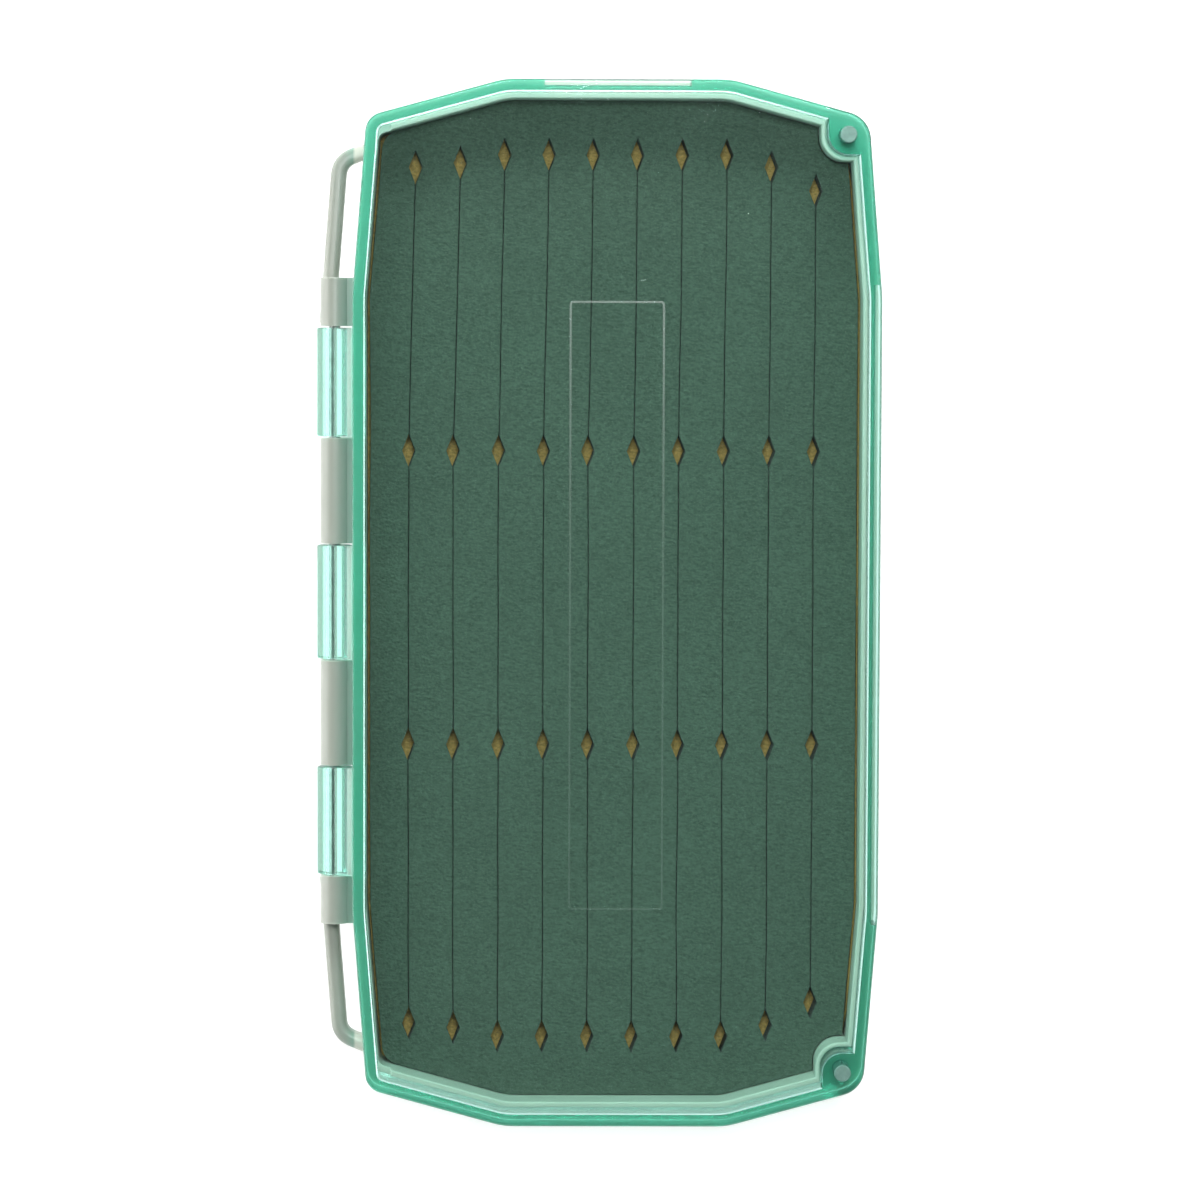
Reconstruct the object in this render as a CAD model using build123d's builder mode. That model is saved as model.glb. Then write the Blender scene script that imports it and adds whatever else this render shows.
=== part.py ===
"""A slim fly box: a clear lid hinged on a foam-lined tray, held shut by corner magnets.

The box lies on its back. X runs from the hinge side (-X) to the opening side (+X), Y
along the box and Z up through the lid. The origin is the middle of the tray's underside.
Lengths are millimetres.
"""

import os

from build123d import *

# Plan of the box: twelve sides, the long ones and the short ones each with a taper
box_width = 94.0
box_length = 186.9
side_flat = 110.0  # straight middle stretch of each long side
end_flat = 40.0  # straight middle stretch of each short end
corner_in_x = 2.5  # how far the corners lie in from the long sides
corner_in_y = 6.7  # how far the corners lie in from the short ends
side_bend_radius = 20.0
end_bend_radius = 13.0
front_corner_radius = 5.0
hinge_corner_radius = 3.5
least_radius = 1.2  # inner outlines keep at least this corner radius

# Lid
lid_depth = 10.9
skirt_wall = 1.9
window_thickness = 1.5
lid_edge_radius = 0.4
inner_edge_radius = 0.5  # where the skirt meets the window, inside
relief_depth = 1.1  # finger reliefs leave the skirt's outer part as a flange at the top
side_relief_flange = 4.0  # flange height along the opening side
side_relief_overrun = 2.3  # past each end of the long side's straight stretch
end_relief_flange = 1.9  # flange height at the end towards +Y
end_relief = 26.0
frame_width = 16.9  # engraved frame line in the middle of the window
frame_length = 108.6
frame_corner_radius = 0.4
frame_line = 0.35
frame_depth = 0.2

# Tray
tray_height = 14.0  # up to the ledge that the skirt comes down on
tray_floor = 1.6
tray_draft = 1.3  # how far the outer wall leans in at the bottom
tray_edge_radius = 1.5
parting_gap = 0.1  # between the ledge and the skirt
lip_height = 2.6  # the lip stands up inside the skirt
lip_wall = 0.8
end_lip_wall = 1.0  # the lip is thicker along the short ends
lip_gap = 0.2  # between the lip and the skirt
lip_chamfer = 0.2
hinge_lip_back = 6.5  # the lip stops this far short of the hinge side, which has none
hinge_wall = 2.0  # the well reaches further out under the hinge side

# Corner magnets, one pair at each front corner
magnet_in_x = 6.1  # magnet axis in from the opening side
magnet_in_y = 9.55  # magnet axis in from the short end
magnet_radius = 1.5
tray_magnet_height = 2.4
lid_magnet_height = 9.0  # rods, whose tops show through the window
magnet_recess = 0.1  # below the faces that meet
magnet_chamfer = 0.15
boss_reach = 3.5  # from the magnet axis to the lid boss's inner faces

# Hinge: knuckle lengths along the pin, from the middle one outwards
hinge_offset = 3.7  # pin axis out from the lid's side
pin_radius = 1.0
pin_clearance = 0.05  # radial, in the lid's knuckles
pin_end_recess = 0.5
pin_chamfer = 0.25
knuckle_gap = 0.3
middle_lid_knuckle = 20.5
outer_lid_knuckle = 19.5
inner_tray_knuckle = 19.0
end_tray_knuckle = 8.7
lid_knuckle_radius = 3.2
tray_knuckle_radius = 2.6
knuckle_edge = 0.3
lid_web_rise = 3.9  # how far the lid knuckle's web climbs the skirt
tray_arm_step = 0.2  # the tray knuckle's arm stays this far under the ledge
tray_arm_foot = 4.5  # height where the arm meets the tray wall
tray_arm_bite = 1.6  # how deep the arm goes into the tray wall

# Lanyard loops at both ends of the hinge
loop_offset = 4.85  # bar's centreline out from the lid's tapered side
loop_width = 2.8
loop_height = 4.5
loop_edge_radius = 1.2
loop_bend_radius = 3.6
loop_start_in = 0.5  # the bar starts this far along the last knuckle
loop_corner_back = 7.5  # the bar turns this far short of the box's corner
loop_end_back = 4.9  # the same for the bar's end in the tray wall
loop_end_bite = 1.35  # how deep the bar's end goes into the tray wall
loop_drop = 0.5  # bar's top below the pin
recess_depth = 1.15  # the tray wall is set in beside the loops
recess_start_gap = 0.55  # past the last knuckle
recess_end_back = 8.1  # short of the box's corner
recess_roof = 2.0  # ledge left above the set-in wall

# Foam: a plain backing sheet under a slit sheet
backing_thickness = 3.0
backing_clearance = 0.1
foam_thickness = 5.0
foam_side_gap = 0.55  # between the slit foam and the tray wall, along the opening side
foam_hinge_gap = 0.6  # the same along the hinge side
foam_end_gap = 0.15  # the same along the short ends
foam_boss_gap = 0.25
foam_corner_radius = 3.5
slit_pitch = 8.15
slit_margin = 6.0  # least foam between a slit and the foam's opening side
slit_centre_x = -0.85
slit_centre_y = 0.5
slit_width = 0.14
row_count = 4
end_row_back = 10.15  # end diamonds from the foam's short ends
top_row_shift_x = 0.7
top_row_pitch = 8.02  # a little closer than the other rows
diamond_width = 2.1
diamond_length = 5.3
hinge_side_steps = [2.3, 1.5]  # end diamonds lie inwards near the corners, outermost first
front_side_steps = [6.3, 2.1]

# Places worked out from the sizes above
rim_z = tray_height + parting_gap
box_height = rim_z + lid_depth
lip_inset = skirt_wall + lip_gap
well_inset = lip_inset + lip_wall
well_end_inset = lip_inset + end_lip_wall
lip_reach = boss_reach + lip_gap
well_reach = lip_reach + lip_wall
boss_x = box_width / 2 - magnet_in_x
boss_y = box_length / 2 - magnet_in_y
hinge_x = -box_width / 2 - hinge_offset
hinge_z = box_height / 2  # so that the open lid lies flat beside the tray
foam_z = tray_floor + backing_thickness
corner_y = box_length / 2 - corner_in_y
side_taper = corner_in_x / (corner_y - side_flat / 2)
side_relief = side_flat + 2 * side_relief_overrun

middle_end_y = middle_lid_knuckle / 2
inner_start_y = middle_end_y + knuckle_gap
inner_end_y = inner_start_y + inner_tray_knuckle
outer_start_y = inner_end_y + knuckle_gap
outer_end_y = outer_start_y + outer_lid_knuckle
end_start_y = outer_end_y + knuckle_gap
end_end_y = end_start_y + end_tray_knuckle

loop_start_y = end_start_y + loop_start_in
loop_corner_y = corner_y - loop_corner_back
loop_end_y = corner_y - loop_end_back
recess_start_y = end_end_y + recess_start_gap
recess_end_y = corner_y - recess_end_back

foam_side_inset = well_inset + foam_side_gap
foam_end_inset = well_end_inset + foam_end_gap
slit_columns = int((box_width - 2 * (foam_side_inset + slit_margin)) / slit_pitch) + 1
row_pitch = (box_length - 2 * (foam_end_inset + end_row_back)) / (row_count - 1)


def plan_corners(side_inset, end_inset):
    """The plan's twelve corners, clockwise from the right end of the top side, moved inwards."""
    half_width = box_width / 2
    half_length = box_length / 2
    quarter = [
        Vector(end_flat / 2, half_length),
        Vector(half_width - corner_in_x, corner_y),
        Vector(half_width, side_flat / 2),
    ]
    right = quarter + [Vector(p.X, -p.Y) for p in reversed(quarter)]
    corners = right + [Vector(-p.X, p.Y) for p in reversed(right)]
    insets = [end_inset, side_inset, side_inset, side_inset, end_inset, end_inset] * 2
    moved = []
    for i, corner in enumerate(corners):
        before = (corner - corners[i - 1]).normalized()
        after = (corners[(i + 1) % len(corners)] - corner).normalized()
        turn = before.X * after.Y - before.Y * after.X
        moved.append(corner + (before * insets[i] - after * insets[i - 1]) * (1 / turn))
    return moved


def plan_face(side_inset, end_inset=None, corner_radius=0.0):
    """The plan moved in all round, or by a second inset along the short ends."""
    if end_inset is None:
        end_inset = side_inset
    front = [end_bend_radius, front_corner_radius, side_bend_radius]
    hinge = [end_bend_radius, hinge_corner_radius, side_bend_radius]
    bends = front + front[::-1] + hinge + hinge[::-1]
    radii = [max(bend - side_inset, corner_radius, least_radius) for bend in bends]
    with BuildSketch() as plan:
        with BuildLine():
            FilletPolyline(*plan_corners(side_inset, end_inset), radius=radii, close=True)
        make_face()
    return plan.sketch


def well_face(hinge_inset, side_inset, end_inset, corner_radius=0.0):
    """A plan face whose hinge side is moved in by its own inset."""
    with BuildSketch() as plan:
        add(plan_face(hinge_inset, end_inset, corner_radius))
        with Locations((-end_flat / 2, 0)):
            Rectangle(box_width, box_length, align=(Align.MIN, Align.CENTER), mode=Mode.SUBTRACT)
        add(plan_face(side_inset, end_inset, corner_radius))
    return plan.sketch


def boss_blocks(reach):
    """Both front corners around the magnets: round towards the middle, square to the walls."""
    span = magnet_in_x + magnet_in_y
    with BuildSketch() as blocks:
        with Locations((boss_x, boss_y)):
            Circle(reach)
            Rectangle(span, span, align=(Align.MIN, Align.MIN))
            Rectangle(reach, span, align=(Align.MAX, Align.MIN))
            Rectangle(span, reach, align=(Align.MIN, Align.MAX))
        mirror(about=Plane.XZ)
    return blocks.sketch


def side_x(y, inset=0.0):
    """Where the hinge side's tapered wall lies at a height y along the box."""
    return -box_width / 2 + (abs(y) - side_flat / 2) * side_taper + inset


def both_ways(spans):
    """The spans along the pin, and the same ones on the other side of the middle."""
    return spans + [(-high, -low) for low, high in spans if low > 0]


lid_knuckles = both_ways([(-middle_end_y, middle_end_y), (outer_start_y, outer_end_y)])
tray_knuckles = both_ways([(inner_start_y, inner_end_y), (end_start_y, end_end_y)])


# Tray: leaning outer wall, lip, foam well and solid front corners
with BuildPart() as tray:
    with BuildSketch(Plane.XY):
        add(plan_face(tray_draft))
    with BuildSketch(Plane.XY.offset(tray_height)):
        add(plan_face(0))
    loft(ruled=True)
    fillet(tray.edges().group_by(Axis.Z)[0], tray_edge_radius)

    with BuildSketch(Plane.XY.offset(tray_height)):
        add(plan_face(lip_inset))
        add(boss_blocks(lip_reach), mode=Mode.SUBTRACT)
        with Locations((-box_width / 2, 0)):
            Rectangle(2 * hinge_lip_back, box_length, mode=Mode.SUBTRACT)
    extrude(amount=lip_height)
    with BuildSketch(Plane.XY.offset(tray_floor)):
        add(well_face(hinge_wall, well_inset, well_end_inset))
        add(boss_blocks(well_reach), mode=Mode.SUBTRACT)
    extrude(amount=rim_z + lip_height, mode=Mode.SUBTRACT)
    chamfer(tray.edges().group_by(Axis.Z)[-1], lip_chamfer)

    # The wall is set in beside the lanyard loops
    for side in (1, -1):
        with BuildSketch(Plane.XY):
            with BuildLine():
                Polyline(
                    (side_x(recess_start_y, -recess_depth), side * recess_start_y),
                    (side_x(recess_start_y, recess_depth), side * recess_start_y),
                    (side_x(recess_end_y, recess_depth), side * recess_end_y),
                    (side_x(recess_end_y, -recess_depth), side * recess_end_y),
                    close=True,
                )
            make_face()
        extrude(amount=tray_height - recess_roof, mode=Mode.SUBTRACT)

    # Hinge knuckles on arms that reach out under the lid's edge
    slope = tray_knuckle_radius / 2**0.5
    for low, high in tray_knuckles:
        with BuildSketch(Plane.XZ.offset(-(low + high) / 2)):
            with Locations((hinge_x, hinge_z)):
                Circle(tray_knuckle_radius)
            with BuildLine():
                Polyline(
                    (hinge_x, tray_height - tray_arm_step),
                    (-box_width / 2 + tray_arm_bite, tray_height - tray_arm_step),
                    (-box_width / 2 + tray_arm_bite, tray_arm_foot),
                    (hinge_x - slope, hinge_z - slope),
                    close=True,
                )
            make_face()
        extrude(amount=(high - low) / 2, both=True)

    # Lanyard loops
    loop_z = hinge_z - pin_radius - loop_drop - loop_height / 2
    for side in (1, -1):
        with BuildLine(Plane.XY.offset(loop_z)) as bar:
            FilletPolyline(
                (side_x(loop_start_y, -loop_offset), side * loop_start_y),
                (side_x(loop_corner_y, -loop_offset), side * loop_corner_y),
                (side_x(loop_end_y, loop_end_bite), side * loop_end_y),
                radius=loop_bend_radius,
            )
        with BuildSketch(Plane(bar.line @ 0, x_dir=(0, 0, 1), z_dir=bar.line % 0)):
            RectangleRounded(loop_height, loop_width, loop_edge_radius)
        sweep(path=bar.line)

    with BuildSketch(Plane.XZ):
        with Locations((hinge_x, hinge_z)):
            Circle(pin_radius)
    extrude(amount=box_length, both=True, mode=Mode.SUBTRACT)
    with BuildSketch(Plane.XY.offset(tray_height)):
        with Locations((boss_x, boss_y), (boss_x, -boss_y)):
            Circle(magnet_radius)
    extrude(amount=-(tray_magnet_height + magnet_recess), mode=Mode.SUBTRACT)
tray.part.label = "tray"


# Lid: window, skirt, solid front corners, finger reliefs and three knuckles
with BuildPart() as lid:
    with BuildSketch(Plane.XY.offset(rim_z)):
        add(plan_face(0))
    extrude(amount=lid_depth)
    fillet(lid.edges().group_by(Axis.Z)[-1], lid_edge_radius)
    with BuildSketch(Plane.XY.offset(rim_z)):
        add(plan_face(skirt_wall))
        add(boss_blocks(boss_reach), mode=Mode.SUBTRACT)
    extrude(amount=lid_depth - window_thickness, mode=Mode.SUBTRACT)
    fillet(lid.edges(Select.LAST).group_by(Axis.Z)[-1], inner_edge_radius)
    with BuildSketch(Plane.XY.offset(rim_z)):
        with Locations((box_width / 2, 0)):
            Rectangle(2 * relief_depth, side_relief)
    extrude(amount=lid_depth - side_relief_flange, mode=Mode.SUBTRACT)
    with BuildSketch(Plane.XY.offset(rim_z)):
        with Locations((0, box_length / 2)):
            Rectangle(end_relief, 2 * relief_depth)
    extrude(amount=lid_depth - end_relief_flange, mode=Mode.SUBTRACT)

    for low, high in lid_knuckles:
        with BuildSketch(Plane.XZ.offset(-(low + high) / 2)):
            with Locations((hinge_x, hinge_z)):
                Circle(lid_knuckle_radius)
            with BuildLine():
                Polyline(
                    (hinge_x, rim_z),
                    (-box_width / 2 + skirt_wall / 2, rim_z),
                    (-box_width / 2 + skirt_wall / 2, rim_z + lid_web_rise),
                    (hinge_x, hinge_z + lid_knuckle_radius),
                    close=True,
                )
            make_face()
        extrude(amount=(high - low) / 2, both=True)
        fillet(lid.edges(Select.LAST).filter_by(GeomType.CIRCLE), knuckle_edge)
    with BuildSketch(Plane.XZ):
        with Locations((hinge_x, hinge_z)):
            Circle(pin_radius + pin_clearance)
    extrude(amount=box_length, both=True, mode=Mode.SUBTRACT)

    with BuildSketch(Plane.XY.offset(rim_z)):
        with Locations((boss_x, boss_y), (boss_x, -boss_y)):
            Circle(magnet_radius)
    extrude(amount=lid_magnet_height + magnet_recess, mode=Mode.SUBTRACT)
    with BuildSketch(Plane.XY.offset(box_height)):
        RectangleRounded(frame_width, frame_length, frame_corner_radius + frame_line)
        RectangleRounded(
            frame_width - 2 * frame_line,
            frame_length - 2 * frame_line,
            frame_corner_radius,
            mode=Mode.SUBTRACT,
        )
    extrude(amount=-frame_depth, mode=Mode.SUBTRACT)
lid.part.label = "lid"


# Hinge pin through all the knuckles
with BuildPart() as hinge_pin:
    with BuildSketch(Plane.XZ):
        with Locations((hinge_x, hinge_z)):
            Circle(pin_radius)
    extrude(amount=end_end_y - pin_end_recess, both=True)
    chamfer(hinge_pin.edges().filter_by(GeomType.CIRCLE), pin_chamfer)
hinge_pin.part.label = "hinge_pin"


# Backing foam on the tray's floor
with BuildPart() as backing_foam:
    with BuildSketch(Plane.XY.offset(tray_floor)):
        insets = (hinge_wall, well_inset, well_end_inset)
        add(well_face(*[inset + backing_clearance for inset in insets]))
        add(boss_blocks(well_reach + backing_clearance), mode=Mode.SUBTRACT)
    extrude(amount=backing_thickness)
backing_foam.part.label = "backing_foam"


def diamond_place(column, row):
    """The middle of one diamond hole; the end rows step inwards near the corners."""
    along = column - (slit_columns - 1) / 2
    x = slit_centre_x + along * slit_pitch
    y = slit_centre_y + (row - (row_count - 1) / 2) * row_pitch
    step = 0.0
    if column < len(hinge_side_steps):
        step = hinge_side_steps[column]
    elif slit_columns - 1 - column < len(front_side_steps):
        step = front_side_steps[slit_columns - 1 - column]
    if row == 0:
        y += step
    if row == row_count - 1:
        x = slit_centre_x + top_row_shift_x + along * top_row_pitch
        y -= step
    return Vector(x, y)


# Slit foam: columns of diamond holes joined by slits, cut right through
with BuildPart() as slit_foam:
    with BuildSketch(Plane.XY.offset(foam_z)):
        insets = (hinge_wall + foam_hinge_gap, foam_side_inset, foam_end_inset)
        add(well_face(*insets, foam_corner_radius))
        add(boss_blocks(well_reach + foam_boss_gap), mode=Mode.SUBTRACT)
        for column in range(slit_columns):
            places = [diamond_place(column, row) for row in range(row_count)]
            with Locations(*places):
                Polygon(
                    (0, diamond_length / 2),
                    (diamond_width / 2, 0),
                    (0, -diamond_length / 2),
                    (-diamond_width / 2, 0),
                    mode=Mode.SUBTRACT,
                )
            half = Vector(slit_width / 2, 0)
            for lower, upper in zip(places, places[1:]):
                Polygon(
                    lower - half,
                    lower + half,
                    upper + half,
                    upper - half,
                    align=None,
                    mode=Mode.SUBTRACT,
                )
    extrude(amount=foam_thickness)
slit_foam.part.label = "slit_foam"


def magnet(label, y, bottom_z, height):
    """One magnet standing on bottom_z in the front corner at y."""
    with BuildPart() as rod:
        with Locations((boss_x, y, bottom_z)):
            Cylinder(magnet_radius, height, align=(Align.CENTER, Align.CENTER, Align.MIN))
        chamfer(rod.edges().filter_by(GeomType.CIRCLE), magnet_chamfer)
    rod.part.label = label
    return rod


tray_magnet_z = tray_height - magnet_recess - tray_magnet_height
lid_magnet_z = rim_z + magnet_recess
magnets = [
    magnet("right_tray_magnet", boss_y, tray_magnet_z, tray_magnet_height),
    magnet("left_tray_magnet", -boss_y, tray_magnet_z, tray_magnet_height),
    magnet("right_lid_magnet", boss_y, lid_magnet_z, lid_magnet_height),
    magnet("left_lid_magnet", -boss_y, lid_magnet_z, lid_magnet_height),
]

os.makedirs("parts", exist_ok=True)
for piece in [tray, lid, hinge_pin, backing_foam, slit_foam, *magnets]:
    export_step(piece.part, f"parts/{piece.part.label}.step")
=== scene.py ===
"""A slim fly box with a clear green lid over a slit-foam tray.

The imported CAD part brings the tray, the lid, the hinge pin and the four
magnets. This script dresses them, makes the two foam layers again with soft
cut edges, and sets the box on a pale sweep under soft studio light.
"""

import logging
import math
from dataclasses import dataclass, field
from enum import Enum

import bmesh
import bpy
from mathutils import Matrix, Vector, noise

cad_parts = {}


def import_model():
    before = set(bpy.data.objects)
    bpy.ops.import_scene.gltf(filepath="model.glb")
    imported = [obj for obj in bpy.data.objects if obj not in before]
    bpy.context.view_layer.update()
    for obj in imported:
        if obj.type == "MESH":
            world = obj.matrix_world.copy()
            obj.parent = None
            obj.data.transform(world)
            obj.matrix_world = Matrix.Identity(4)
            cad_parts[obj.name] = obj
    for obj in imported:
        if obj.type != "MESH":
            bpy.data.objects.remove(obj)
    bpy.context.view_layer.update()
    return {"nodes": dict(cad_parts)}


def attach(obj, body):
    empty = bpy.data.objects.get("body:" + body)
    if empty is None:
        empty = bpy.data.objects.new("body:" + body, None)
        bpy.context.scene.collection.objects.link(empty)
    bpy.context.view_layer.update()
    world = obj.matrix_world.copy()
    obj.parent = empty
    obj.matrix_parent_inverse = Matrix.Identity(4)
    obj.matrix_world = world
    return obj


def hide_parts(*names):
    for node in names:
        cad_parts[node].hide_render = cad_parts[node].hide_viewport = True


LOG = logging.getLogger("fly_box")
MM = 0.001

Colour = tuple[float, float, float]
Point = tuple[float, float, float]
Socket = bpy.types.NodeSocket


class Graph:
    """A material and the calls that add and join the nodes of its tree."""

    def __init__(self, name: str) -> None:
        """Start an empty material.

        Args:
            name: The material's name.
        """
        self.material = bpy.data.materials.new(name)
        self.material.use_nodes = True
        self.tree = self.material.node_tree
        self.tree.nodes.clear()
        self.output = self.add("OutputMaterial")
        self.place = self.add("TexCoord").outputs["Object"]

    def add(self, kind: str, **settings: object) -> bpy.types.Node:
        """Add a shader node.

        Args:
            kind: The node's type without its ShaderNode prefix.
            **settings: Properties of the node to set.

        Returns:
            The new node.
        """
        made = self.tree.nodes.new("ShaderNode" + kind)
        for key, value in settings.items():
            setattr(made, key, value)
        return made

    def join(self, source: Socket, target: Socket) -> None:
        """Link one socket to another.

        Args:
            source: The output that gives the value.
            target: The input that takes it.
        """
        self.tree.links.new(source, target)

    def feed(self, node: bpy.types.Node, **values: object) -> bpy.types.Node:
        """Set or link a node's inputs, by name with underscores for spaces.

        Args:
            node: The node whose inputs are filled.
            **values: A plain value, or a socket to link, for each input.

        Returns:
            The same node.
        """
        for key, value in values.items():
            target = node.inputs[key.replace("_", " ")]
            if isinstance(value, Socket):
                self.join(value, target)
            elif isinstance(value, tuple) and len(value) == 3 and target.type == "RGBA":
                target.default_value = (*value, 1)
            else:
                target.default_value = value
        return node

    def stretched(self, scale: Point, turn: float = 0.0) -> Socket:
        """Object coordinates turned about the upright axis, then scaled.

        Args:
            scale: How many pattern units fit in a metre along each axis.
            turn: The pattern's turn, in degrees.

        Returns:
            The socket with the new coordinates.
        """
        angle = (0, 0, math.radians(turn))
        spin = self.feed(self.add("Mapping"), Vector=self.place, Rotation=angle)
        return self.feed(self.add("Mapping"), Vector=spin.outputs[0], Scale=scale).outputs[0]

    def cloud(
        self, cell: float, detail: float = 2.0, rough: float = 0.5, at: Socket | None = None
    ) -> Socket:
        """Smooth noise whose lumps are about one cell across.

        Args:
            cell: The size of a lump, in metres, or in units of at.
            detail: Octaves of finer noise.
            rough: How strong the finer octaves are.
            at: Coordinates to read in place of the object's own.

        Returns:
            The noise value's socket.
        """
        made = self.feed(
            self.add("TexNoise"),
            Vector=at or self.place,
            Scale=1 / cell,
            Detail=detail,
            Roughness=rough,
        )
        return made.outputs["Fac"]

    def cells(self, cell: float, feature: str = "F1", at: Socket | None = None) -> bpy.types.Node:
        """A Voronoi texture with cells of the given size.

        Args:
            cell: The size of a cell, in metres, or in units of at.
            feature: Which distance the texture gives.
            at: Coordinates to read in place of the object's own.

        Returns:
            The texture node.
        """
        made = self.add("TexVoronoi", feature=feature)
        return self.feed(made, Vector=at or self.place, Scale=1 / cell)

    def span(
        self, value: Socket, low: float, high: float, to_low: float = 0.0, to_high: float = 1.0
    ) -> Socket:
        """Map a value from one range to another, clamped at its ends.

        Args:
            value: The socket to read.
            low: Input that gives to_low.
            high: Input that gives to_high.
            to_low: Output at low.
            to_high: Output at high.

        Returns:
            The mapped value's socket.
        """
        made = self.add("MapRange")
        names = ("From Min", "From Max", "To Min", "To Max")
        for key, number in zip(names, (low, high, to_low, to_high)):
            made.inputs[key].default_value = number
        self.join(value, made.inputs["Value"])
        return made.outputs["Result"]

    def maths(
        self, operation: str, first: Socket | float, second: Socket | float = 0.0
    ) -> Socket:
        """Do a sum with sockets or numbers.

        Args:
            operation: The Math node's operation.
            first: The first operand.
            second: The second operand.

        Returns:
            The result's socket.
        """
        made = self.add("Math", operation=operation)
        for slot, value in enumerate((first, second)):
            if isinstance(value, Socket):
                self.join(value, made.inputs[slot])
            else:
                made.inputs[slot].default_value = value
        return made.outputs[0]

    def blend(self, share: Socket, first: Colour, second: Colour) -> Socket:
        """Blend two colours by a share from 0 to 1.

        Args:
            share: The socket with the share of the second colour.
            first: Linear colour at share 0.
            second: Linear colour at share 1.

        Returns:
            The colour's socket.
        """
        made = self.add("Mix", data_type="RGBA")
        self.join(share, made.inputs["Factor"])
        colours = [s for s in made.inputs if s.type == "RGBA"]
        colours[0].default_value, colours[1].default_value = (*first, 1), (*second, 1)
        return next(s for s in made.outputs if s.type == "RGBA")

    def tones(self, value: Socket, stops: tuple[tuple[float, Colour], ...]) -> Socket:
        """Pass through several colours as a value runs from 0 to 1.

        Args:
            value: The socket to read.
            stops: Each colour with the value where it is reached, in rising order.

        Returns:
            The colour's socket.
        """
        made = self.add("ValToRGB")
        points = made.color_ramp.elements
        while len(points) < len(stops):
            points.new(0.5)
        for point, (at, colour) in zip(points, stops):
            point.position = at
            point.color = (*colour, 1)
        self.join(value, made.inputs["Fac"])
        return made.outputs["Color"]

    def within(self, axis: str, low: float, high: float) -> Socket:
        """Mark the places whose object coordinate lies between two values.

        Args:
            axis: X, Y or Z.
            low: The lowest value, in metres.
            high: The highest value, in metres.

        Returns:
            A socket with 1 inside and 0 outside.
        """
        split = self.feed(self.add("SeparateXYZ"), Vector=self.place).outputs[axis]
        above = self.maths("GREATER_THAN", split, low)
        below = self.maths("LESS_THAN", split, high)
        return self.maths("MULTIPLY", above, below)

    def levelness(self) -> Socket:
        """How level the surface lies.

        Returns:
            A socket with 1 on level faces and 0 on upright ones.
        """
        normal = self.add("TexCoord").outputs["Normal"]
        rise = self.feed(self.add("SeparateXYZ"), Vector=normal).outputs["Z"]
        return self.maths("ABSOLUTE", rise)

    def relief(
        self, height: Socket, depth: float, under: Socket | None = None
    ) -> Socket:
        """A bumped normal from a height from 0 to 1.

        Args:
            height: The height's socket.
            depth: The height of a full step, in metres.
            under: A bumped normal that this one is added to.

        Returns:
            The normal's socket.
        """
        made = self.feed(self.add("Bump"), Height=height, Distance=depth, Strength=1.0)
        if under is not None:
            self.join(under, made.inputs["Normal"])
        return made.outputs["Normal"]

    def close(self, shader: bpy.types.Node) -> bpy.types.Material:
        """Send a shader to the output.

        Args:
            shader: The surface's shader node.

        Returns:
            The finished material.
        """
        self.join(shader.outputs[0], self.output.inputs["Surface"])
        return self.material


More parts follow.
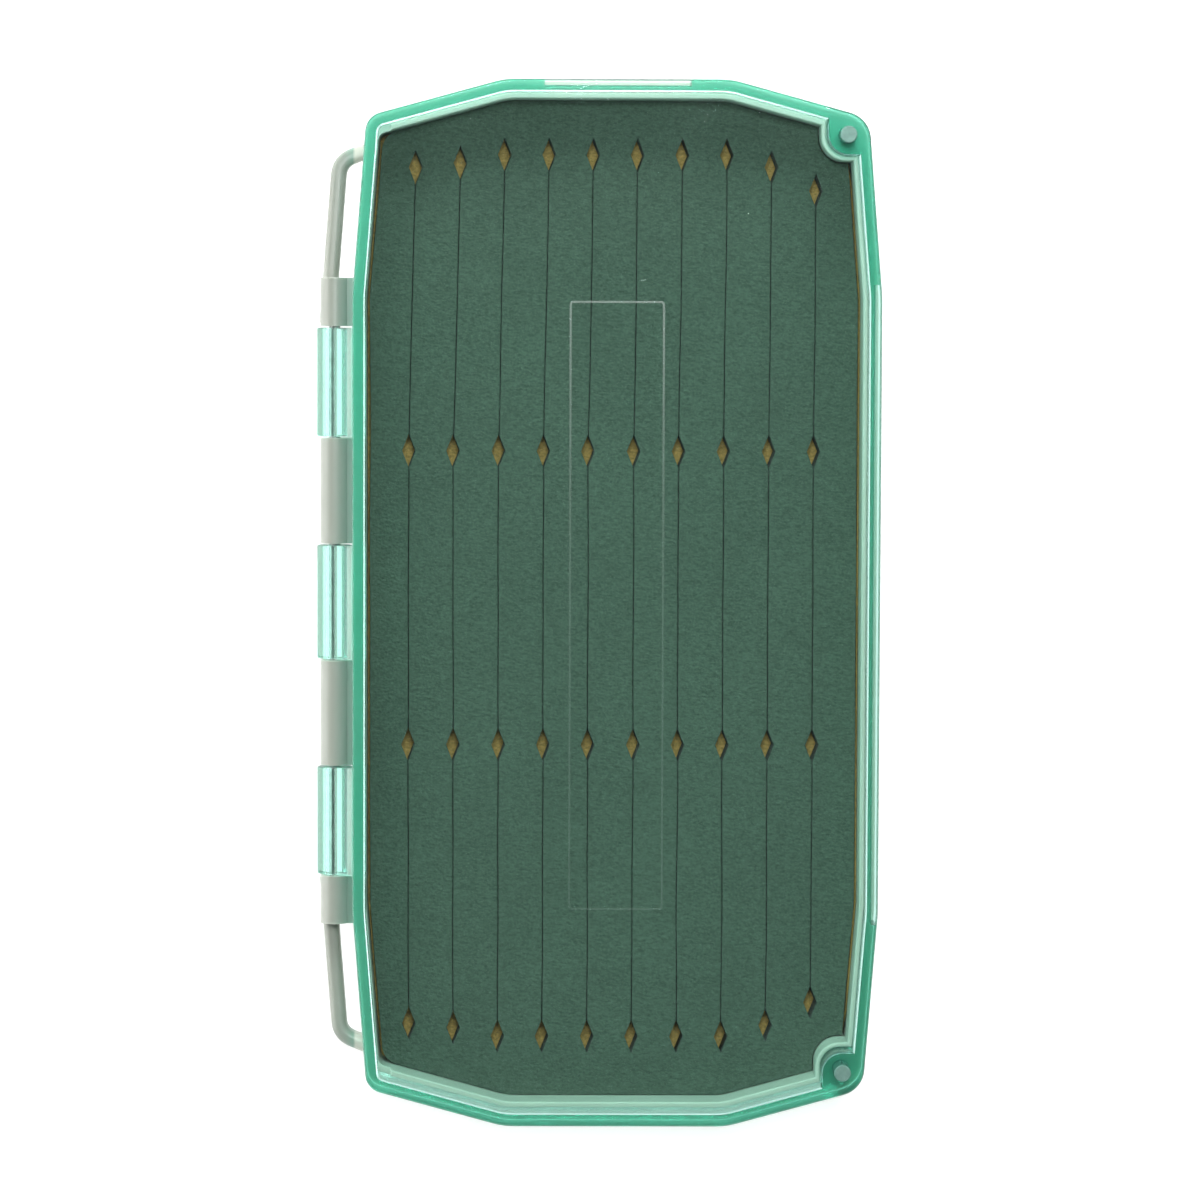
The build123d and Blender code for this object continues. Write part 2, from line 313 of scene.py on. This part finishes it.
@dataclass(frozen=True)
class ClearPlastic:
    """Injection-moulded clear plastic, tinted through its thickness.

    Attributes:
        uptake: Light taken per metre of plastic, in red, green and blue.
        index: Index of refraction.
        polish: Roughness of the window's polished faces.
        frost: Roughness of the upright faces, which draw out of the mould.
        groove: Half width, half length and height of the engraved line's box, in metres.
        knuckles_in_x: The hinge knuckles lie between these places along X, in metres.
        knuckle_haze: Roughness added on the knuckles.
        knuckle_shade_tint: Linear colours of the lid's plates and of the knuckles; the knuckles'
            darker colour is painted shade.
        mark_haze: Roughness added on scratches and dust.
        engraved_rough: Roughness of the engraved line's floor.
        shade: Linear colour of the light that passes straight through.
    """

    uptake: Colour = (122.0, 26.0, 43.0)
    index: float = 1.58
    polish: float = 0.02
    frost: float = 0.20
    groove: tuple[float, float, tuple[float, float]] = (9 * MM, 55 * MM, (24.7 * MM, 24.92 * MM))
    knuckles_in_x: tuple[float, float] = (-60 * MM, -47.2 * MM)
    knuckle_haze: float = 0.10
    knuckle_shade_tint: tuple[Colour, Colour] = ((0.97, 1.0, 0.985), (0.88, 0.96, 0.93))
    mark_haze: float = 0.02
    engraved_rough: float = 0.25
    shade: Colour = (0.93, 0.95, 0.94)

    def material(self, name: str) -> bpy.types.Material:
        """Make the plastic's material.

        Args:
            name: The material's name.

        Returns:
            The material.
        """
        g = Graph(name)
        marked = self._marks(g)
        knuckles = g.within("X", *self.knuckles_in_x)
        flow = g.relief(g.cloud(7 * MM, 2, 0.4), 0.003 * MM)
        # The knuckles get a darker colour than the plates: painted shade.
        glass = g.feed(
            g.add("BsdfPrincipled"),
            Base_Color=g.blend(knuckles, *self.knuckle_shade_tint),
            Roughness=self._roughness(g, marked, knuckles),
            IOR=self.index,
            Transmission_Weight=1.0,
            Normal=g.relief(marked, -0.002 * MM, flow),
        )
        clear = g.feed(g.add("BsdfTransparent"), Color=self.shade)
        path = g.add("LightPath").outputs
        mixed = g.add("MixShader")
        g.join(g.maths("MAXIMUM", path["Is Shadow Ray"], path["Is Diffuse Ray"]), mixed.inputs[0])
        g.join(glass.outputs[0], mixed.inputs[1])
        g.join(clear.outputs[0], mixed.inputs[2])
        most = max(self.uptake)
        left = tuple(1 - u / most for u in self.uptake)
        body = g.feed(g.add("VolumeAbsorption"), Color=left, Density=most)
        g.join(body.outputs[0], g.output.inputs["Volume"])
        return g.close(mixed)

    def _roughness(self, g: Graph, marked: Socket, knuckles: Socket) -> Socket:
        """Polish the level faces, and frost the sides, the knuckles and the engraved line.

        Args:
            g: The material's graph.
            marked: A socket with 1 on scratches and dust.
            knuckles: A socket with 1 on the knuckles.

        Returns:
            The roughness's socket.
        """
        sides = g.span(g.levelness(), 0.25, 0.55, self.frost, self.polish)
        haze = g.maths("ADD", sides, g.span(g.cloud(14 * MM, 4, 0.65), 0.3, 0.8, 0.0, 0.02))
        haze = g.maths("ADD", haze, g.maths("MULTIPLY", marked, self.mark_haze))
        haze = g.maths("ADD", haze, g.maths("MULTIPLY", knuckles, self.knuckle_haze))
        floor = g.maths("MULTIPLY", self._engraved(g), self.engraved_rough)
        return g.maths("MAXIMUM", haze, floor)

    def _marks(self, g: Graph) -> Socket:
        """Sparse hair scratches and specks of dust.

        Args:
            g: The material's graph.

        Returns:
            A socket with 1 on a mark and 0 elsewhere.
        """
        hairs = []
        for scale, turn in (((600, 50, 200), 24), ((60, 500, 200), -12)):
            edges = g.cells(1.0, "DISTANCE_TO_EDGE", g.stretched(scale, turn))
            hairs.append(g.span(edges.outputs["Distance"], 0.0, 0.008, 1.0, 0.0))
        patches = g.span(g.cloud(13 * MM, 3, 0.6), 0.63, 0.75)
        scratched = g.maths("MULTIPLY", g.maths("MAXIMUM", hairs[0], hairs[1]), patches)
        dust = g.span(g.cells(4.3 * MM).outputs["Distance"], 0.02, 0.04, 1.0, 0.0)
        return g.maths("MAXIMUM", scratched, dust)

    def _engraved(self, g: Graph) -> Socket:
        """The floor of the engraved line.

        Args:
            g: The material's graph.

        Returns:
            A socket with 1 in the line and 0 elsewhere.
        """
        half_width, half_length, (low, high) = self.groove
        across = g.within("X", -half_width, half_width)
        along = g.within("Y", -half_length, half_length)
        return g.maths("MULTIPLY", g.maths("MULTIPLY", across, along), g.within("Z", low, high))


@dataclass(frozen=True)
class MilkyPlastic:
    """Semi-clear white moulded plastic with a fine satin skin.

    Attributes:
        reach: Places along X where the painted light on the thin hinge parts begins and ends, in
            metres.
        tones: Linear colours between them, from the thin outer parts to the solid walls; the
            darker, greener colours on the loops and knuckles are painted shade and painted green
            light from the lid.
        depth: How far light wanders under the skin, in metres.
        gloss: Roughness of the skin.
    """

    reach: tuple[float, float] = (-54.5 * MM, -46.5 * MM)
    tones: tuple[tuple[float, Colour], ...] = (
        (0.00, (0.50, 0.52, 0.48)),
        (0.35, (0.30, 0.32, 0.28)),
        (0.70, (0.25, 0.30, 0.26)),
        (0.88, (0.21, 0.33, 0.27)),
        (0.93, (0.49, 0.52, 0.46)),
    )
    depth: float = 1.2 * MM
    gloss: float = 0.34

    def material(self, name: str) -> bpy.types.Material:
        """Make the plastic's material.

        Args:
            name: The material's name.

        Returns:
            The material.
        """
        g = Graph(name)
        across = g.feed(g.add("SeparateXYZ"), Vector=g.place).outputs["X"]
        mottle = g.span(g.cloud(11 * MM, 4, 0.6), 0.3, 0.7, -0.02, 0.02)
        # Painted light along X: the hinge loops and knuckles darken towards the lid and turn green
        # where light comes through the green lid; the mottle is random tone.
        colour = g.tones(g.maths("ADD", g.span(across, *self.reach), mottle), self.tones)
        satin = g.cloud(0.22 * MM, 3, 0.6)
        skin = g.feed(
            g.add("BsdfPrincipled"),
            Base_Color=colour,
            Roughness=g.span(satin, 0.3, 0.7, self.gloss - 0.06, self.gloss + 0.08),
            IOR=1.49,
            Subsurface_Weight=1.0,
            Subsurface_Radius=(1.0, 1.0, 0.95),
            Subsurface_Scale=self.depth,
            Normal=g.relief(satin, 0.012 * MM),
        )
        return g.close(skin)


class FoamGrade(Enum):
    """The two closed-cell foams in the tray."""

    SLIT_SHEET = "slit sheet"
    BACKING = "backing"


@dataclass(frozen=True)
class Foam:
    """Matte closed-cell foam with a skin of fine open pores.

    Attributes:
        base: Linear colour.
        pore: Size of a pore, in metres.
        cut: Share of the colour left on upright faces: painted shade that darkens the walls of the
            holes, slits and gaps.
        ruck: Height of the wrinkles and pores, in metres.
        reach: How far above its base the colour may brighten, as a share.
    """

    base: Colour
    pore: float
    cut: float
    ruck: float = 0.36 * MM
    reach: float = 1.4

    def material(self, name: str) -> bpy.types.Material:
        """Make the foam's material.

        Args:
            name: The material's name.

        Returns:
            The material.
        """
        g = Graph(name)
        along = g.stretched((0.45 / self.pore, 1.0 / self.pore, 0.7 / self.pore), 6)
        grain = self._sum(g, g.cloud(self.pore, 4, 0.7), 0.45, g.cloud(1.0, 3, 0.65, along))
        pits = g.span(g.cells(self.pore * 1.6).outputs["Distance"], 0.0, 0.7)
        broad = g.span(g.cloud(16 * MM, 3, 0.55), 0.3, 0.7, 0.94, 1.05)
        tone = g.maths("MULTIPLY", broad, g.span(grain, 0.38, 0.62, 0.66, 1.34))
        # Upright faces are darkened: painted shade on the walls of the holes, slits and gaps.
        tone = g.maths("MULTIPLY", tone, g.span(g.levelness(), 0.3, 0.8, self.cut, 1.0))
        brightest = tuple(c * self.reach for c in self.base)
        colour = g.blend(g.span(tone, 0.0, self.reach), (0.0, 0.0, 0.0), brightest)
        height = self._sum(g, grain, 0.75, pits)
        skin = g.feed(
            g.add("BsdfPrincipled"),
            Base_Color=colour,
            Roughness=g.span(grain, 0.3, 0.7, 0.82, 0.96),
            Specular_IOR_Level=0.28,
            Sheen_Weight=0.12,
            Sheen_Roughness=0.5,
            Normal=g.relief(height, self.ruck),
        )
        return g.close(skin)

    def _sum(self, g: Graph, first: Socket, share: float, second: Socket) -> Socket:
        """Mix two heights, so that their shares add up to 1.

        Args:
            g: The material's graph.
            first: The first height.
            share: The first height's share.
            second: The second height.

        Returns:
            The mixed height's socket.
        """
        lots = g.maths("MULTIPLY", first, share)
        rest = g.maths("MULTIPLY", second, 1 - share)
        return g.maths("ADD", lots, rest)


# Each foam gives its colour, its pore size and the share of colour left on upright faces, which is
# painted shade.
FOAMS: dict[FoamGrade, Foam] = {
    FoamGrade.SLIT_SHEET: Foam((0.071, 0.099, 0.076), 0.38 * MM, 0.45),
    FoamGrade.BACKING: Foam((0.62, 0.36, 0.115), 0.40 * MM, 0.5),
}


class MetalKind(Enum):
    """The metal pieces of the box."""

    TURNED_STEEL = "turned steel"
    NICKEL_PLATE = "nickel plate"


@dataclass(frozen=True)
class Metal:
    """Bright metal, drawn to a rod or plated on a small disc.

    Attributes:
        kind: Which metal surface this is.
    """

    kind: MetalKind

    def material(self, name: str) -> bpy.types.Material:
        """Make the metal's material.

        Args:
            name: The material's name.

        Returns:
            The material.
        """
        g = Graph(name)
        if self.kind is MetalKind.TURNED_STEEL:
            streak = g.cloud(1.0, 3, 0.6, g.stretched((9000, 500, 9000)))
            bright, dark, gloss, shine = (0.34, 0.35, 0.34), (0.24, 0.25, 0.24), (0.26, 0.36), 1.0
        else:
            streak = g.cloud(0.5 * MM, 4, 0.65)
            bright, dark, gloss, shine = (0.40, 0.42, 0.41), (0.28, 0.30, 0.29), (0.50, 0.64), 0.4
        stain = g.cloud(1.6 * MM, 3, 0.6)
        skin = g.feed(
            g.add("BsdfPrincipled"),
            Base_Color=g.blend(g.span(stain, 0.35, 0.65), bright, dark),
            Metallic=shine,
            Roughness=g.span(streak, 0.3, 0.7, *gloss),
            Normal=g.relief(streak, 0.006 * MM),
        )
        return g.close(skin)


@dataclass(frozen=True)
class PaperSweep:
    """Matte white background paper over a glowing light table.

    Attributes:
        colour: Linear colour of the paper.
        glow: Light that comes up through it.
    """

    colour: Colour = (0.72, 0.72, 0.72)
    glow: float = 0.70

    def material(self, name: str) -> bpy.types.Material:
        """Make the paper's material.

        Args:
            name: The material's name.

        Returns:
            The material.
        """
        g = Graph(name)
        fibre = g.cloud(0.8 * MM, 3, 0.6)
        darker = tuple(c * 0.992 for c in self.colour)
        colour = g.blend(g.span(fibre, 0.3, 0.7), darker, self.colour)
        skin = g.feed(
            g.add("BsdfPrincipled"),
            Base_Color=colour,
            Roughness=g.span(fibre, 0.3, 0.7, 0.86, 0.94),
            Specular_IOR_Level=0.2,
            Emission_Color=colour,
            Emission_Strength=self.glow,
            Normal=g.relief(fibre, 0.01 * MM),
        )
        return g.close(skin)


def dress(node: bpy.types.Object, material: bpy.types.Material) -> None:
    """Put one material in every slot of an object.

    Args:
        node: The object to dress.
        material: What it wears.
    """
    if not node.material_slots:
        node.data.materials.append(material)
    for slot in node.material_slots:
        slot.material = material


@dataclass
class FoamLayer:
    """One layer of foam, made again from its CAD solid with soft edges.

    Attributes:
        node: The CAD node it stands for.
        grade: The foam it is cut from.
        lip: Radius of its cut upper edges, in metres.
        dip: Width and depth of the gentle slope beside them, in metres.
        rim: Height and width of its long edges, which stand up against the walls, in metres.
        pitch: Distance between the cross cuts that let it bend, in metres.
        wander: How far the cuts stray sideways, in metres.
        lean: How far the lower ends of the cuts lean to one side, in metres.
        swell: How far the cut edges rise and dip, in metres.
        clear: Least distance from a cross cut to a corner of the sheet, in metres.
        hole: Width of the diamond holes in the solid, in metres.
        spread: Share by which the holes open up when the foam is cut.
        hole_reach: How far a hole's corners lie across and along, in widths of a hole.
        edge_keep: Distance from the sheet's outer edge within which nothing dips, in metres.
        tries: Places tried for each cross cut before it is left out.
        cut_area: Half width and half length of the part that holds the cuts, in metres.
        rim_from: Distance out from the middle where the raised long edges begin, in metres.
        rim_end: Half length of the raised edges and how far they take to fade, in metres.
        rim_share: Height of the edges towards +X and -X and how much it varies, as shares.
    """

    node: str
    grade: FoamGrade
    lip: float = 0.06 * MM
    dip: tuple[float, float] = (0.20 * MM, 0.09 * MM)
    rim: tuple[float, float] = (0.0, 0.0)
    pitch: float = 4.0 * MM
    wander: float = 0.18 * MM
    lean: float = 0.36 * MM
    swell: float = 0.10 * MM
    clear: float = 0.3 * MM
    hole: float = 2.1 * MM
    spread: float = 0.18
    hole_reach: tuple[float, float] = (0.6, 2.2)
    edge_keep: float = 0.6 * MM
    tries: int = 14
    cut_area: tuple[float, float] = (41 * MM, 86.5 * MM)
    rim_from: float = 40 * MM
    rim_end: tuple[float, float] = (78 * MM, 3 * MM)
    rim_share: tuple[tuple[float, float], tuple[float, float]] = ((0.92, 0.08), (0.50, 0.12))

    def build(self, source: bpy.types.Object) -> bpy.types.Object:
        """Make the layer's mesh and hang it on the tray.

        Args:
            source: The CAD node's object.

        Returns:
            The new piece.
        """
        bm = bmesh.new()
        bm.from_mesh(source.data)
        bmesh.ops.remove_doubles(bm, verts=bm.verts, dist=0.002 * MM)
        self._open_holes(bm)
        self._cross_cut(bm)
        self._relax(bm)
        if self.lip > 0:
            self._round_lips(bm)
        if self.rim[0] > 0:
            self._raise_rim(bm)
        bmesh.ops.triangulate(bm, faces=[f for f in bm.faces if len(f.verts) > 4])
        bmesh.ops.recalc_face_normals(bm, faces=bm.faces)
        for face in bm.faces:
            face.smooth = True
        mesh = bpy.data.meshes.new(self.node + "_layer")
        bm.to_mesh(mesh)
        bm.free()
        mesh.set_sharp_from_angle(angle=math.radians(48))
        piece = bpy.data.objects.new(self.node + "_layer", mesh)
        bpy.context.scene.collection.objects.link(piece)
        flat = piece.modifiers.new("Even shading", "WEIGHTED_NORMAL")
        flat.keep_sharp = True
        flat.weight = 80
        dress(piece, FOAMS[self.grade].material(self.node + "_foam"))
        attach(piece, "tray_body")
        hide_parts(self.node)
        return piece

    def _open_holes(self, bm: bmesh.types.BMesh) -> None:
        """Let the diamond holes open up a little, as the foam draws back from its cuts.

        Args:
            bm: The sheet's mesh.
        """
        top = max(v.co.z for v in bm.verts)
        corners = [v.co for v in bm.verts if v.co.z > top - 0.01 * MM]
        middles = [
            (a + b) / 2
            for a in corners
            for b in corners
            if abs(b.x - a.x - self.hole) < 0.01 * MM and abs(b.y - a.y) < 0.01 * MM
        ]
        across, along = (reach * self.hole for reach in self.hole_reach)
        moves: list[tuple[bmesh.types.BMVert, Vector]] = []
        for vert in bm.verts:
            for middle in middles:
                off = vert.co - middle
                if abs(off.x) < across and abs(off.y) < along:
                    fade = min((along - abs(off.y)) / self.hole, 1.0)
                    moves.append((vert, Vector((off.x, off.y, 0)) * self.spread * fade))
        for vert, move in moves:
            vert.co += move

    def _cross_cut(self, bm: bmesh.types.BMesh) -> None:
        """Cut the sheet into even bands, so that its long edges can bend.

        Args:
            bm: The sheet's mesh.
        """
        corners = sorted({round(v.co.y, 7) for v in bm.verts})
        low, high = corners[0], corners[-1]
        count = int((high - low) / self.pitch)
        lines: list[float] = []
        for step in range(1, count):
            even = low + (high - low) * step / count
            near = [even + shift * self.clear / 2 for shift in range(self.tries)]
            free = [at for at in near if all(abs(y - at) > self.clear for y in corners)]
            if not free:
                continue
            lines.append(free[0])
            geom = bm.verts[:] + bm.edges[:] + bm.faces[:]
            bmesh.ops.bisect_plane(
                bm, geom=geom, dist=0.0001 * MM, plane_co=(0, free[0], 0), plane_no=(0, 1, 0)
            )
        inner = [
            e
            for e in bm.edges
            if len(e.link_faces) == 2
            and e.calc_face_angle(0) < math.radians(0.5)
            and not any(all(abs(v.co.y - at) < 0.001 * MM for v in e.verts) for at in lines)
        ]
        bmesh.ops.dissolve_edges(bm, edges=inner, use_verts=True)

    def _relax(self, bm: bmesh.types.BMesh) -> None:
        """Let the cuts wander and the top swell a little, as stamped foam does.

        Args:
            bm: The sheet's mesh.
        """
        top = max(v.co.z for v in bm.verts)
        for vert in bm.verts:
            here = vert.co.copy()
            stray = noise.noise(Vector((here.x * 90, here.y * 45, 3.1)))
            vert.co.x += self.wander * stray
            among_cuts = abs(here.x) < self.cut_area[0] and abs(here.y) < self.cut_area[1]
            if here.z < top - 2 * MM and among_cuts:
                vert.co.x -= self.lean
            if here.z > top - 0.01 * MM:
                rise = noise.noise(Vector((here.x * 160, here.y * 120, 8.7)))
                vert.co.z += self.swell * (rise - 0.6)

    def _round_lips(self, bm: bmesh.types.BMesh) -> None:
        """Round the upper edges of the slits and the diamond holes, and dip the foam beside them.

        Args:
            bm: The sheet's mesh.
        """
        top = self._top(bm)
        outline = self._outline(top)
        width, depth = self.dip
        steps = [
            (self.lip * (math.cos(low) - math.cos(high)), self.lip * (1 - math.sin(low)) + depth)
            for low, high in ((math.radians(a), math.radians(a + 30)) for a in (0, 30, 60))
        ]
        steps.append((width, depth))
        for around, drop in steps:
            made = self._step_in(bm, top, around)
            inner = {v for f in top for v in f.verts}
            for vert in {v for f in made for v in f.verts} - inner:
                if all((vert.co - corner).length > self.edge_keep for corner in outline):
                    vert.co.z -= drop

    def _outline(self, top: list[bmesh.types.BMFace]) -> list[Vector]:
        """Follow the outer edge of the sheet's upper side.

        Args:
            top: The faces of the upper side.

        Returns:
            The places of the edge's corners.
        """
        region = set(top)
        border = {e for f in top for e in f.edges if any(g not in region for g in e.link_faces)}
        found = {max(border, key=lambda e: e.verts[0].co.y)}
        fresh = set(found)
        while fresh:
            ends = {v for edge in fresh for v in edge.verts}
            fresh = {e for v in ends for e in v.link_edges if e in border} - found
            found |= fresh
        return [v.co.copy() for v in {v for e in found for v in e.verts}]

    def _raise_rim(self, bm: bmesh.types.BMesh) -> None:
        """Stand the long edges up against the well's walls, a little unevenly.

        Args:
            bm: The sheet's mesh.
        """
        height, width = self.rim
        half, fade = self.rim_end
        top = self._top(bm)
        crest = self._step_in(bm, top, width)
        self._step_in(bm, top, 0.02 * MM)
        for vert in {v for f in crest for v in f.verts}:
            beside = min(max((half - abs(vert.co.y)) / fade, 0.0), 1.0)
            if abs(vert.co.x) > self.rim_from:
                wave = noise.noise(Vector((0.0, vert.co.y * 60, vert.co.x * 9)))
                mean, swing = self.rim_share[0 if vert.co.x > 0 else 1]
                vert.co.z += height * beside * (mean + swing * wave)

    def _top(self, bm: bmesh.types.BMesh) -> list[bmesh.types.BMFace]:
        """Find the faces of the sheet's upper side.

        Args:
            bm: The sheet's mesh.

        Returns:
            The faces.
        """
        bm.normal_update()
        low = min(v.co.z for v in bm.verts)
        return [
            f for f in bm.faces if f.normal.z > 0.97 and f.calc_center_median().z > low + 1 * MM
        ]

    def _step_in(
        self, bm: bmesh.types.BMesh, faces: list[bmesh.types.BMFace], width: float
    ) -> list[bmesh.types.BMFace]:
        """Inset a region of faces.

        Args:
            bm: The sheet's mesh.
            faces: The region.
            width: How far its border moves inwards, in metres.

        Returns:
            The new faces around the region.
        """
        made = bmesh.ops.inset_region(
            bm, faces=faces, thickness=width, use_boundary=True, use_even_offset=True
        )
        return made["faces"]


@dataclass
class Shell:
    """The moulded tray and lid, carried over from CAD.

    Attributes:
        lid_plastic: The lid's finish.
        tray_plastic: The tray's finish.
    """

    lid_plastic: ClearPlastic = field(default_factory=ClearPlastic)
    tray_plastic: MilkyPlastic = field(default_factory=MilkyPlastic)

    def dress(self, nodes: dict[str, bpy.types.Object]) -> None:
        """Give the tray and the lid their plastics.

        Args:
            nodes: The CAD nodes by name.
        """
        dress(nodes["lid"], self.lid_plastic.material("lid_clear_green"))
        dress(nodes["tray"], self.tray_plastic.material("tray_milky_white"))


@dataclass
class Hardware:
    """The hinge pin and the magnets, carried over from CAD.

    Attributes:
        magnets: The magnet nodes.
    """

    magnets: tuple[str, ...] = (
        "right_tray_magnet",
        "left_tray_magnet",
        "right_lid_magnet",
        "left_lid_magnet",
    )

    def dress(self, nodes: dict[str, bpy.types.Object]) -> None:
        """Give the metal pieces their finishes.

        Args:
            nodes: The CAD nodes by name.
        """
        dress(nodes["hinge_pin"], Metal(MetalKind.TURNED_STEEL).material("pin_steel_drawn"))
        nickel = Metal(MetalKind.NICKEL_PLATE).material("magnet_nickel")
        for name in self.magnets:
            dress(nodes[name], nickel)


@dataclass(frozen=True)
class Softbox:
    """A large diffused lamp.

    Attributes:
        name: The lamp's name.
        place: Where it hangs, in metres.
        size: Its width and height, in metres.
        watts: Its power.
        mirrored: Whether glossy surfaces show it.
    """

    name: str
    place: Point
    size: tuple[float, float]
    watts: float
    mirrored: bool = True

    def hang(self) -> None:
        """Make the lamp, facing the box."""
        data = bpy.data.lights.new(self.name, "AREA")
        data.shape = "RECTANGLE"
        data.size, data.size_y = self.size
        data.energy = self.watts
        lamp = bpy.data.objects.new(self.name, data)
        aim = Vector((0, 0, 0.01)) - Vector(self.place)
        turn = aim.to_track_quat("-Z", "Y").to_matrix().to_4x4()
        lamp.matrix_world = Matrix.Translation(self.place) @ turn
        lamp.visible_glossy = self.mirrored
        bpy.context.scene.collection.objects.link(lamp)


@dataclass
class Studio:
    """The floor, the lamps and the camera.

    Attributes:
        floor_size: Side of the paper sweep, in metres.
        eye: Where the camera is, in metres.
        tilt: The camera's turns about X, Y and Z from looking straight down, in degrees.
        lens: Its focal length on a 36 mm sensor, in millimetres.
        lamps: The softboxes.
        horizon: Brightness of the room near the horizon.
        zenith: Brightness of the room overhead.
        fade: Heights of the view's direction between which the room darkens.
    """

    floor_size: float = 6.0
    eye: Point = (-0.0096, 0.05225, 0.8211)
    tilt: Point = (-3.67, -0.48, 0.16)
    lens: float = 134.5
    lamps: tuple[Softbox, ...] = (
        Softbox("key_overhead", (0.02, 0.19, 0.75), (0.22, 0.10), 3.3),
        Softbox("key_head_end", (-0.12, 0.98, 0.49), (0.9, 0.35), 12.0, mirrored=False),
        Softbox("fill_left", (-0.8, 0.0, 0.35), (0.9, 0.4), 3.8),
        Softbox("fill_right", (0.8, 0.0, 0.45), (0.9, 0.6), 1.0),
        Softbox("fill_foot_end", (0.0, -0.9, 0.6), (1.0, 0.5), 0.6),
    )
    horizon: float = 0.8
    zenith: float = 0.08
    fade: tuple[float, float] = (0.45, 0.80)

    def build(self) -> None:
        """Make the whole studio."""
        self._floor()
        for lamp in self.lamps:
            lamp.hang()
        self._room()
        self._camera()
        bpy.context.scene.view_settings.view_transform = "Standard"

    def _floor(self) -> None:
        """Lay the paper under the box."""
        bm = bmesh.new()
        bmesh.ops.create_grid(bm, x_segments=24, y_segments=24, size=self.floor_size / 2)
        bmesh.ops.translate(bm, verts=bm.verts, vec=(0, 0, -0.02 * MM))
        mesh = bpy.data.meshes.new("floor")
        bm.to_mesh(mesh)
        bm.free()
        floor = bpy.data.objects.new("floor", mesh)
        bpy.context.scene.collection.objects.link(floor)
        dress(floor, PaperSweep().material("floor_paper"))

    def _room(self) -> None:
        """Light the room from its walls, darker overhead."""
        world = bpy.data.worlds.new("room")
        bpy.context.scene.world = world
        world.use_nodes = True
        tree = world.node_tree
        tree.nodes.clear()
        nodes = {
            kind: tree.nodes.new("ShaderNode" + kind)
            for kind in ("TexCoord", "SeparateXYZ", "MapRange", "Background", "OutputWorld")
        }
        tree.links.new(nodes["TexCoord"].outputs["Generated"], nodes["SeparateXYZ"].inputs[0])
        tree.links.new(nodes["SeparateXYZ"].outputs["Z"], nodes["MapRange"].inputs["Value"])
        for key, number in (
            ("From Min", self.fade[0]),
            ("From Max", self.fade[1]),
            ("To Min", self.horizon),
            ("To Max", self.zenith),
        ):
            nodes["MapRange"].inputs[key].default_value = number
        tree.links.new(nodes["MapRange"].outputs["Result"], nodes["Background"].inputs["Strength"])
        nodes["Background"].inputs["Color"].default_value = (1, 1, 1, 1)
        tree.links.new(nodes["Background"].outputs[0], nodes["OutputWorld"].inputs["Surface"])

    def _camera(self) -> None:
        """Set the camera over the box, with the hinge on the left."""
        data = bpy.data.cameras.new("camera")
        data.lens = self.lens
        data.sensor_width = 36
        data.clip_start, data.clip_end = 0.01, 20
        camera = bpy.data.objects.new("camera", data)
        turned = Matrix.Identity(4)
        for axis, angle in zip("XYZ", self.tilt):
            turned = turned @ Matrix.Rotation(math.radians(angle), 4, axis)
        camera.matrix_world = Matrix.Translation(self.eye) @ turned
        bpy.context.scene.collection.objects.link(camera)
        bpy.context.scene.camera = camera


def main() -> None:
    """Dress the box, then light it and set the camera."""
    logging.basicConfig(level=logging.INFO, format="%(name)s: %(message)s")
    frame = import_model()
    nodes = frame["nodes"]
    Shell().dress(nodes)
    LOG.info("dressed the tray and the lid")
    Hardware().dress(nodes)
    LOG.info("dressed the hinge pin and the magnets")
    for layer in (
        FoamLayer(
            "backing_foam",
            FoamGrade.BACKING,
            lip=0.0,
            rim=(4.7 * MM, 0.36 * MM),
            pitch=5 * MM,
            wander=0.0,
            lean=0.0,
            swell=0.0,
        ),
        FoamLayer("slit_foam", FoamGrade.SLIT_SHEET),
    ):
        piece = layer.build(nodes[layer.node])
        LOG.info("made %s with %d faces", piece.name, len(piece.data.polygons))
    Studio().build()
    LOG.info("set the studio")


if __name__ == "__main__":
    main()
